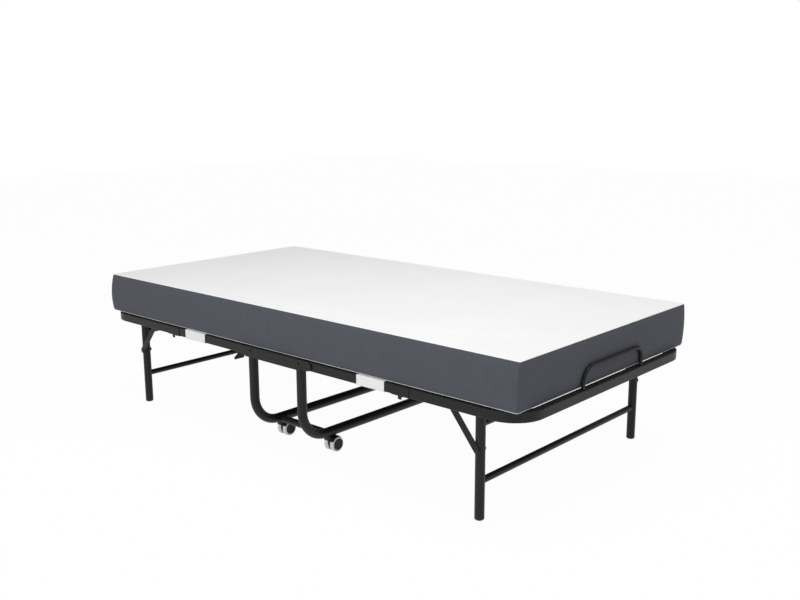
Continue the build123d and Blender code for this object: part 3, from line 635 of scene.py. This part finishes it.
class MattressForm:
    """The mattress's closed cover, as rings round its sides with a panel above and below."""

    def __init__(self, look, room):
        self.look = look
        self.room = room
        self.half_x = MATTRESS_FOOT_END + look.foot_lean - look.shift[0]
        self.half_y = MATTRESS_HIGH.y - peak(look.side_spread, look.side_swell) + look.side_proud
        self.bottom = MATTRESS_LOW.z
        self.edge_top = MATTRESS_HIGH.z - look.crown
        self.seam = self.edge_top - look.top_radius * SEAM_DROP_SHARE
        hinge = [FOLD_PIN.x + look.bend_reach * (k / HINGE_STEPS)
                 for k in range(-HINGE_STEPS, HINGE_STEPS + 1)]
        extra = [0.0] + hinge + [-x for x in hinge]
        self.xs = stations(self.half_x, look.low_corner_radius, GRID_STEP, extra)
        self.ys = stations(self.half_y, look.low_corner_radius, GRID_STEP)

    def levels(self):
        """Each ring's height and set-in, and whether it is the seam."""
        look = self.look
        rings = []
        for k in range(BOTTOM_STEPS + 1):
            turn = math.pi / 2 * k / BOTTOM_STEPS
            rings.append((self.bottom + look.bottom_radius * (1 - math.cos(turn)),
                          look.bottom_radius * (1 - math.sin(turn)), False))
        low = self.bottom + look.bottom_radius
        high = self.seam
        rings += [(low + (high - low) * k / SIDE_STEPS, 0.0, False) for k in range(1, SIDE_STEPS)]
        rings.append((high - SEAM_LEAD, 0.0, False))
        rings.append((high, look.seam_depth, True))
        top_low = high + SEAM_RISE
        rise = self.edge_top + look.top_radius * EDGE_RISE_SHARE - top_low
        for k in range(TOP_STEPS + 1):
            turn = math.pi / 2 * k / TOP_STEPS
            rings.append((top_low + rise * math.sin(turn), look.top_radius * (1 - math.cos(turn)),
                          False))
        return rings

    def ring_point(self, x, y, inset, height):
        """A point of the outline at a height, set in from the edge."""
        look = self.look
        share = min(1.0, (height - self.bottom) / (self.edge_top - self.bottom))
        # Room for the cover to swell into, most of it at mid height
        start = inset + self.room * 4 * share * (1 - share)
        if x > 0:
            # The retainer bar presses the foot end in, less and less beyond the bar's ends
            past_bar = max(BAR_LOW.y - y, y - BAR_HIGH.y, 0.0)
            free = eased(min(1.0, past_bar / look.press_fade))
            swell = look.foot_swell + (look.corner_swell - look.foot_swell) * free
            end_out = stand_out(look.foot_spread, swell, share)
        else:
            end_out = stand_out(look.head_spread, look.head_swell, share)
        half_x = self.half_x + end_out - start
        half_y = self.half_y + stand_out(look.side_spread, look.side_swell, share) - start
        corner = look.low_corner_radius + (look.corner_radius - look.low_corner_radius) * share
        corner = max(corner - inset, LEAST_CORNER_SHARE * corner)
        x, y = rounded(refit(x, self.half_x, look.low_corner_radius, half_x, corner),
                       refit(y, self.half_y, look.low_corner_radius, half_y, corner),
                       half_x, half_y, corner)
        return x + look.shift[0], y + look.shift[1]

    def border_path(self):
        """The grid places round the outline, in order."""
        xs, ys = self.xs, self.ys
        path = [(x, ys[0]) for x in xs]
        path += [(xs[-1], y) for y in ys[1:]]
        path += [(x, ys[-1]) for x in reversed(xs[:-1])]
        path += [(xs[0], y) for y in reversed(ys[1:-1])]
        return path

    def crown_height(self, x, y):
        """How much the top panel rises above its edge at a grid place."""
        return self.look.crown * (1 - (x / self.half_x) ** 2) * (1 - (y / self.half_y) ** 2)

    def build(self, materials):
        """The cover's mesh: slot 0 is the top panel, slot 1 the border."""
        verts, faces, slots = [], [], []
        path = self.border_path()
        n = len(path)
        rings = self.levels()
        seam_index = next(i for i, ring in enumerate(rings) if ring[2])
        for height, inset, _ in rings:
            verts += [(*self.ring_point(x, y, inset, height), height) for x, y in path]
        for r in range(len(rings) - 1):
            for i in range(n):
                j = (i + 1) % n
                faces.append((r * n + i, r * n + j, (r + 1) * n + j, (r + 1) * n + i))
                slots.append(0 if r >= seam_index else 1)
        columns = len(self.xs)
        for (height, inset, _), rises, slot in ((rings[0], 0.0, 1), (rings[-1], 1.0, 0)):
            start = len(verts)
            for y in self.ys:
                for x in self.xs:
                    verts.append((*self.ring_point(x, y, inset, height),
                                  height + rises * self.crown_height(x, y)))
            for row in range(len(self.ys) - 1):
                for column in range(columns - 1):
                    a = start + row * columns + column
                    quad = (a, a + 1, a + columns + 1, a + columns)
                    faces.append(quad if rises else tuple(reversed(quad)))
                    slots.append(slot)
        cover = new_piece("mattress_cover", verts, faces, materials, slots)
        weld(cover)
        return cover


def weld(piece):
    """Joins points that lie together."""
    mesh = bmesh.new()
    mesh.from_mesh(piece.data)
    bmesh.ops.remove_doubles(mesh, verts=mesh.verts, dist=WELD_DISTANCE)
    bmesh.ops.recalc_face_normals(mesh, faces=mesh.faces)
    mesh.to_mesh(piece.data)
    mesh.free()
    piece.data.update()


PUFF_STEPS = 16           # frames that the cloth simulation runs
SEAM_HOLD = 0.0035        # the cover is held this near to its seam
LEAST_REACH = 1e-9        # stands in for no movement, which can't be divided by


def puff_cover(cover, look, form):
    """Swells the cover a little with a cloth simulation, held at its seam and underneath."""
    rest = np.array([v.co for v in cover.data.vertices])
    held = cover.vertex_groups.new(name="held")
    for v in cover.data.vertices:
        under = v.co.z < form.bottom + look.bottom_radius
        seam = abs(v.co.z - form.seam) < SEAM_HOLD
        if under or seam:
            held.add([v.index], 1.0, "REPLACE")
    bpy.context.view_layer.objects.active = cover
    cloth = cover.modifiers.new("cloth", "CLOTH")
    cloth.settings.quality = 5
    cloth.settings.mass = 0.3
    cloth.settings.tension_stiffness = 30
    cloth.settings.compression_stiffness = 30
    cloth.settings.bending_stiffness = 5
    cloth.settings.use_pressure = True
    cloth.settings.uniform_pressure_force = 3.0
    cloth.settings.vertex_group_mass = "held"
    cloth.settings.effector_weights.gravity = 0.0
    cloth.collision_settings.use_collision = False
    cloth.point_cache.frame_start = 1
    cloth.point_cache.frame_end = PUFF_STEPS
    scene = bpy.context.scene
    for step in range(1, PUFF_STEPS + 1):
        scene.frame_set(step)
    depsgraph = bpy.context.evaluated_depsgraph_get()
    moved = np.array([v.co for v in cover.evaluated_get(depsgraph).data.vertices])
    cover.modifiers.remove(cloth)
    cover.vertex_groups.clear()
    scene.frame_set(1)
    shift = moved - rest
    reach = np.linalg.norm(shift, axis=1, keepdims=True)
    shift *= np.minimum(1.0, look.puff / np.maximum(reach, LEAST_REACH))
    cover.data.vertices.foreach_set("co", (rest + shift).ravel())
    cover.data.update()


PIPING_SIDES = 8


def piping_tube(form, look):
    """The piping's round tube along the bottom edge, as points and faces."""
    height = form.bottom + look.piping_height
    below = look.bottom_radius - look.piping_height
    sink = look.bottom_radius - math.sqrt(max(0.0, look.bottom_radius ** 2 - below ** 2))
    line = [Vector((*form.ring_point(x, y, sink, height), height)) for x, y in form.border_path()]
    up = Vector((0, 0, 1))
    n = len(line)
    verts, faces = [], []
    for i, point in enumerate(line):
        along = (line[(i + 1) % n] - line[i - 1]).normalized()
        out = along.cross(up).normalized()
        for s in range(PIPING_SIDES):
            turn = 2 * math.pi * s / PIPING_SIDES
            verts.append(point + look.piping_radius * (out * math.cos(turn)
                                                       + Vector((0, 0, math.sin(turn)))))
    for i in range(n):
        for s in range(PIPING_SIDES):
            t = (s + 1) % PIPING_SIDES
            here = i * PIPING_SIDES
            after = (i + 1) % n * PIPING_SIDES
            faces.append((here + s, here + t, after + t, after + s))
    return verts, faces


def half_of(piece, side, name):
    """A copy of one half of a piece, cut at the middle of the bed, where the halves meet."""
    mesh = bmesh.new()
    mesh.from_mesh(piece.data)
    geometry = mesh.verts[:] + mesh.edges[:] + mesh.faces[:]
    bmesh.ops.bisect_plane(mesh, geom=geometry, dist=WELD_DISTANCE, plane_co=(0, 0, 0),
                           plane_no=(-side, 0, 0), clear_outer=True)
    data = bpy.data.meshes.new(name)
    mesh.to_mesh(data)
    mesh.free()
    for material in piece.data.materials:
        data.materials.append(material)
    return add_object(name, data)


def bend_with_half(piece):
    """Bakes a piece's placement into its own mesh."""
    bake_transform(piece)


class BED_OT_mattress(Operator):
    """Makes the foam mattress with its top panel, border and piping"""

    bl_idname = "folding_bed.mattress"
    bl_label = "Mattress"

    def execute(self, context):
        look = settings(context).mattress
        form = MattressForm(look, look.puff)
        cover = form.build([panel_cloth(look), border_cloth(look)])
        puff_cover(cover, look, form)
        tube_verts, tube_faces = piping_tube(form, look)
        piping = new_piece("mattress_piping", tube_verts, tube_faces, [piping_cloth(look)])
        weld(piping)
        for half, side in HALVES:
            cover_half = half_of(cover, side, f"mattress_cover_{half}")
            bend_with_half(cover_half)
            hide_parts(f"mattress_{half}", "mattress_middle")
            piping_half = half_of(piping, side, f"mattress_piping_{half}")
            bend_with_half(piping_half)
        for whole in (cover, piping):
            bpy.data.objects.remove(whole)
        return {"FINISHED"}


# The straps

STRAP_COLUMNS = 25
STRAP_STEP = 0.004        # about how long a step along a strap's straight runs is
STRAP_BEND_STEPS = 5
STRAP_EDGE_SHARE = 0.3    # of the webbing's thickness, for the softening of its edges


def strap_line(look, low, high):
    """A strap's middle line in (y, z): from under the mattress, round the rail, up behind it."""
    bend = look.bend
    out = high.y - look.thickness / 2
    inner = RAIL_INNER_Y - (high.y - RAIL_OUTER_Y) + look.thickness / 2
    top = high.z - look.thickness / 2
    bottom = low.z + look.thickness / 2
    corners = [((out - bend, top - bend), 90, 0), ((out - bend, bottom + bend), 0, -90),
               ((inner + bend, bottom + bend), -90, -180)]
    line = [(out - look.tuck, top)]
    for (cy, cz), a0, a1 in corners:
        for k in range(STRAP_BEND_STEPS + 1):
            turn = math.radians(a0 + (a1 - a0) * k / STRAP_BEND_STEPS)
            line.append((cy + bend * math.cos(turn), cz + bend * math.sin(turn)))
    line.append((inner, bottom + look.back_rise))
    dense = [line[0]]
    for a, b in zip(line, line[1:]):
        pieces = max(1, round(math.dist(a, b) / STRAP_STEP))
        dense += [(a[0] + (b[0] - a[0]) * k / pieces, a[1] + (b[1] - a[1]) * k / pieces)
                  for k in range(1, pieces + 1)]
    return dense


def strap_band(look, name, line, low_x, high_x, y_side, webbing):
    """A strap's band along its line, on the near side for -1 and the far side for 1."""
    rows = len(line)
    verts, faces = [], []
    for i in range(STRAP_COLUMNS):
        share = i / (STRAP_COLUMNS - 1)
        x = low_x + (high_x - low_x) * share
        verts += [(x, y_side * y, z) for y, z in line]
    for i in range(STRAP_COLUMNS - 1):
        for k in range(rows - 1):
            a = i * rows + k
            quad = (a, a + 1, a + rows + 1, a + rows)
            faces.append(quad if y_side > 0 else tuple(reversed(quad)))
    strap = new_piece(name, verts, faces, [webbing])
    thick = strap.modifiers.new("thickness", "SOLIDIFY")
    thick.thickness = look.thickness
    thick.offset = 0.0
    soft = strap.modifiers.new("edge", "BEVEL")
    soft.width = look.thickness * STRAP_EDGE_SHARE
    soft.segments = 2
    soft.limit_method = "ANGLE"
    return strap


class BED_OT_straps(Operator):
    """Makes the pale webbing straps that hold the mattress to the side rails"""

    bl_idname = "folding_bed.straps"
    bl_label = "Straps"

    def execute(self, context):
        look = settings(context).straps
        webbing = webbing_cloth(look)
        for half, _ in HALVES:
            low, high = node_box(f"{half}_straps")
            low.x += look.side_inset
            high.x -= look.side_inset
            line = strap_line(look, low, high)
            for place, y_side in (("near", -1), ("far", 1)):
                strap = strap_band(look, f"{half}_strap_{place}", line, low.x, high.x, y_side,
                                   webbing)
                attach(strap, f"{half}_half")
                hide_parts(f"{half}_straps")
        return {"FINISHED"}


# The frame

def paint(node, material):
    """Gives a frame node one material."""
    if not node.material_slots:
        node.data.materials.append(material)
    for slot in node.material_slots:
        slot.material = material


class BED_OT_steel(Operator):
    """Gives the frame's steel, bolts and plastic their finishes"""

    bl_idname = "folding_bed.steel"
    bl_label = "Steel and plastic"

    def execute(self, context):
        look = settings(context).steel
        coat = powder_coat(look)
        bolt = blackened_bolt(look)
        plastic = moulded_plastic(look)
        for name, node in frame["nodes"].items():
            if name.startswith(("mattress_", "wheel_")) or name.endswith("_straps"):
                continue
            finish = coat
            if name.endswith("_bolts") or name == "hinge_pins":
                finish = bolt
            elif name.endswith("_foot_caps") or name.startswith("caster_"):
                finish = plastic
            paint(node, finish)
        return {"FINISHED"}


# The wheels: sizes of a profile in metres, and shares of the hub's radius

WHEEL_STEPS = 56
TREAD_EDGE_STEPS = 5
BOSS_SHARE = 0.3          # the boss round the axle, on both faces
BOSS_FOOT_SHARE = 0.34
BOSS_SET_BACK = 0.0002
INNER_DISH_SHARE = 0.86   # the dish in the inner face
INNER_RIM_SHARE = 0.92
INNER_DISH_DEPTH = 0.0018
GROOVE_WIDTH = 0.0004     # the groove between tread and cap
GROOVE_DEPTH = 0.0006
CAP_EDGE_SHARE = 0.97     # the cap's sloping edge
CAP_EDGE_DROP = 0.0008
CAP_FACE_SHARE = 0.9
OUTER_RIM_SHARE = 0.62    # the dish in the cap
OUTER_DISH_SHARE = 0.58
OUTER_DISH_DEPTH = 0.001


def wheel_profile(look, width, radius):
    """Points (distance from the inner face, radius), and the first and last row of the tread."""
    hub = look.hub_radius
    edge = look.tread_edge
    tread_width = width - look.cap_height
    dish = width - OUTER_DISH_DEPTH
    profile = [(BOSS_SET_BACK, 0.0), (BOSS_SET_BACK, BOSS_SHARE * hub),
               (INNER_DISH_DEPTH, BOSS_FOOT_SHARE * hub),
               (INNER_DISH_DEPTH, INNER_DISH_SHARE * hub), (0.0, INNER_RIM_SHARE * hub),
               (0.0, hub)]
    first_row = len(profile) - 1
    for x, start in ((edge, math.pi), (tread_width - edge, math.pi / 2)):
        for k in range(TREAD_EDGE_STEPS + 1):
            turn = start - math.pi / 2 * k / TREAD_EDGE_STEPS
            profile.append((x + edge * math.cos(turn), radius - edge + edge * math.sin(turn)))
    last_row = len(profile)
    profile += [(tread_width, hub + GROOVE_WIDTH), (tread_width - GROOVE_DEPTH, hub),
                (width - CAP_EDGE_DROP, CAP_EDGE_SHARE * hub), (width, CAP_FACE_SHARE * hub),
                (width, OUTER_RIM_SHARE * hub), (dish, OUTER_DISH_SHARE * hub),
                (dish, BOSS_FOOT_SHARE * hub), (width - BOSS_SET_BACK, BOSS_SHARE * hub),
                (width, 0.0)]
    return profile, first_row, last_row


def turned_wheel(look, name, out, materials):
    """One wheel, turned about its axle; out is 1 where its cap faces +X and -1 where it faces -X."""
    low, high = node_box(f"wheel_{name}")
    middle = (low + high) / 2
    inner_x = low.x if out > 0 else high.x
    profile, first_row, last_row = wheel_profile(look, high.x - low.x, (high.z - low.z) / 2)
    verts, faces, slots = [], [], []
    for x, r in profile:
        for s in range(WHEEL_STEPS):
            turn = 2 * math.pi * s / WHEEL_STEPS
            verts.append((inner_x + out * x, middle.y + r * math.cos(turn),
                          middle.z + r * math.sin(turn)))
    for row in range(len(profile) - 1):
        here = row * WHEEL_STEPS
        after = here + WHEEL_STEPS
        for s in range(WHEEL_STEPS):
            t = (s + 1) % WHEEL_STEPS
            faces.append((here + s, here + t, after + t, after + s))
            slots.append(0 if first_row <= row <= last_row else 1)
    wheel = new_piece(f"caster_wheel_{name}", verts, faces, materials, slots)
    weld(wheel)
    return wheel


class BED_OT_wheels(Operator):
    """Makes the twin wheels with pale treads and dark hub caps"""

    bl_idname = "folding_bed.wheels"
    bl_label = "Wheels"

    def execute(self, context):
        look = settings(context).wheels
        materials = [tread_rubber(look), hub_plastic(look)]
        for half, _ in HALVES:
            for place in ("near", "far"):
                for letter, out in (("a", -1), ("b", 1)):
                    name = f"{half}_{place}_{letter}"
                    wheel = turned_wheel(look, name, out, materials)
                    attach(wheel, f"roller_{name}")
                    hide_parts(f"wheel_{name}")
        return {"FINISHED"}


# The studio

SENSOR_WIDTH = 36.0       # millimetres, which the focal length goes with
FLOOR_SHADE = 0.9         # the floor's colour and roughness, where it takes light


class BED_OT_stage(Operator):
    """Sets up the floor, the backdrop, the lights and the camera"""

    bl_idname = "folding_bed.stage"
    bl_label = "Studio"

    def execute(self, context):
        look = settings(context).stage
        scene = context.scene
        scene.view_settings.view_transform = "Standard"
        self.make_world(scene, look)
        self.make_floor(look)
        self.make_light("key_light", look.key_light, look.key_place, look.key_aim, look.lamp_size)
        self.make_light("side_light", look.side_light, look.side_place, look.side_aim,
                        look.lamp_size)
        self.make_camera(scene, look)
        return {"FINISHED"}

    def make_world(self, scene, look):
        """Soft light from all round, which is white to the camera and through glass."""
        world = bpy.data.worlds.new("studio")
        scene.world = world
        world.use_nodes = True
        nodes, links = world.node_tree.nodes, world.node_tree.links
        back = nodes["Background"]
        back.inputs["Color"].default_value = (1, 1, 1, 1)
        path = nodes.new("ShaderNodeLightPath")
        seen = nodes.new("ShaderNodeMath")
        seen.operation = "MAXIMUM"
        links.new(path.outputs["Is Camera Ray"], seen.inputs[0])
        links.new(path.outputs["Is Transmission Ray"], seen.inputs[1])
        level = nodes.new("ShaderNodeMapRange")
        level.inputs["To Min"].default_value = look.sky_light
        level.inputs["To Max"].default_value = 1.0
        links.new(seen.outputs[0], level.inputs["Value"])
        links.new(level.outputs["Result"], back.inputs["Strength"])

    def make_floor(self, look):
        """A wide white floor that keeps a faint shadow."""
        mesh = bmesh.new()
        bmesh.ops.create_grid(mesh, x_segments=2, y_segments=2, size=look.floor_reach)
        data = bpy.data.meshes.new("studio_floor")
        mesh.to_mesh(data)
        mesh.free()
        floor = add_object("studio_floor", data)
        pen = NodePen("studio_floor")
        path = pen.add("ShaderNodeLightPath")
        seen = pen.math("MAXIMUM", path.outputs["Is Camera Ray"], path.outputs["Is Glossy Ray"])
        seen = pen.math("MAXIMUM", seen, path.outputs["Is Transmission Ray"])
        share = pen.ramp(seen, low=0.0, high=1.0, start=0.0, end=1.0 - look.floor_shadow)
        glow = pen.add("ShaderNodeEmission", {"Color": (1, 1, 1, 1), "Strength": 1.0})
        mix = pen.add("ShaderNodeMixShader", {0: share, 1: pen.shader.outputs[0],
                                              2: glow.outputs[0]})
        output = pen.tree.nodes["Material Output"]
        pen.tree.links.new(mix.outputs[0], output.inputs["Surface"])
        shade = (FLOOR_SHADE, FLOOR_SHADE, FLOOR_SHADE, 1)
        data.materials.append(pen.finish(Base_Color=shade, Roughness=FLOOR_SHADE))

    def make_light(self, name, power, place, aim, size):
        """A large square lamp."""
        lamp = bpy.data.lights.new(name, "AREA")
        lamp.energy = power
        lamp.size = size
        light = add_object(name, lamp)
        light.location = place
        light.rotation_euler = (Vector(aim) - Vector(place)).to_track_quat("-Z", "Y").to_euler()

    def make_camera(self, scene, look):
        """The camera, at the photograph's place and angle."""
        lens = bpy.data.cameras.new("camera")
        lens.sensor_width = SENSOR_WIDTH
        lens.lens = look.focal_length
        camera = add_object("camera", lens)
        turn = (Matrix.Rotation(look.camera_turn, 4, "Z")
                @ Matrix.Rotation(math.pi / 2 - look.camera_tilt, 4, "X")
                @ Matrix.Rotation(-look.camera_roll, 4, "Z"))
        camera.matrix_world = Matrix.Translation(look.camera_place) @ turn
        scene.camera = camera


OPERATORS = (BED_OT_mattress, BED_OT_straps, BED_OT_steel, BED_OT_wheels, BED_OT_stage)


class BED_PT_panel(Panel):
    """Lists the steps that dress the folding bed"""

    bl_idname = "BED_PT_panel"
    bl_label = "Folding bed"
    bl_space_type = "VIEW_3D"
    bl_region_type = "UI"
    bl_category = "Folding bed"

    def draw(self, context):
        for operator in OPERATORS:
            self.layout.operator(operator.bl_idname)
        for group in ("mattress", "straps", "steel", "wheels", "stage"):
            look = getattr(settings(context), group)
            box = self.layout.box()
            box.label(text=group.capitalize())
            for name in look.__annotations__:
                box.prop(look, name)


CLASSES = (MattressSettings, StrapSettings, FrameSettings, WheelSettings, StageSettings,
           BedSettings) + OPERATORS + (BED_PT_panel,)


def register():
    """Registers the settings, the steps and the panel."""
    for cls in CLASSES:
        bpy.utils.register_class(cls)
    bpy.types.Scene.folding_bed = PointerProperty(type=BedSettings)


def unregister():
    """Takes them away again."""
    del bpy.types.Scene.folding_bed
    for cls in reversed(CLASSES):
        bpy.utils.unregister_class(cls)


def main():
    register()
    bpy.ops.folding_bed.mattress()
    bpy.ops.folding_bed.straps()
    bpy.ops.folding_bed.steel()
    bpy.ops.folding_bed.wheels()
    bpy.ops.folding_bed.stage()


if __name__ == "__main__":
    main()
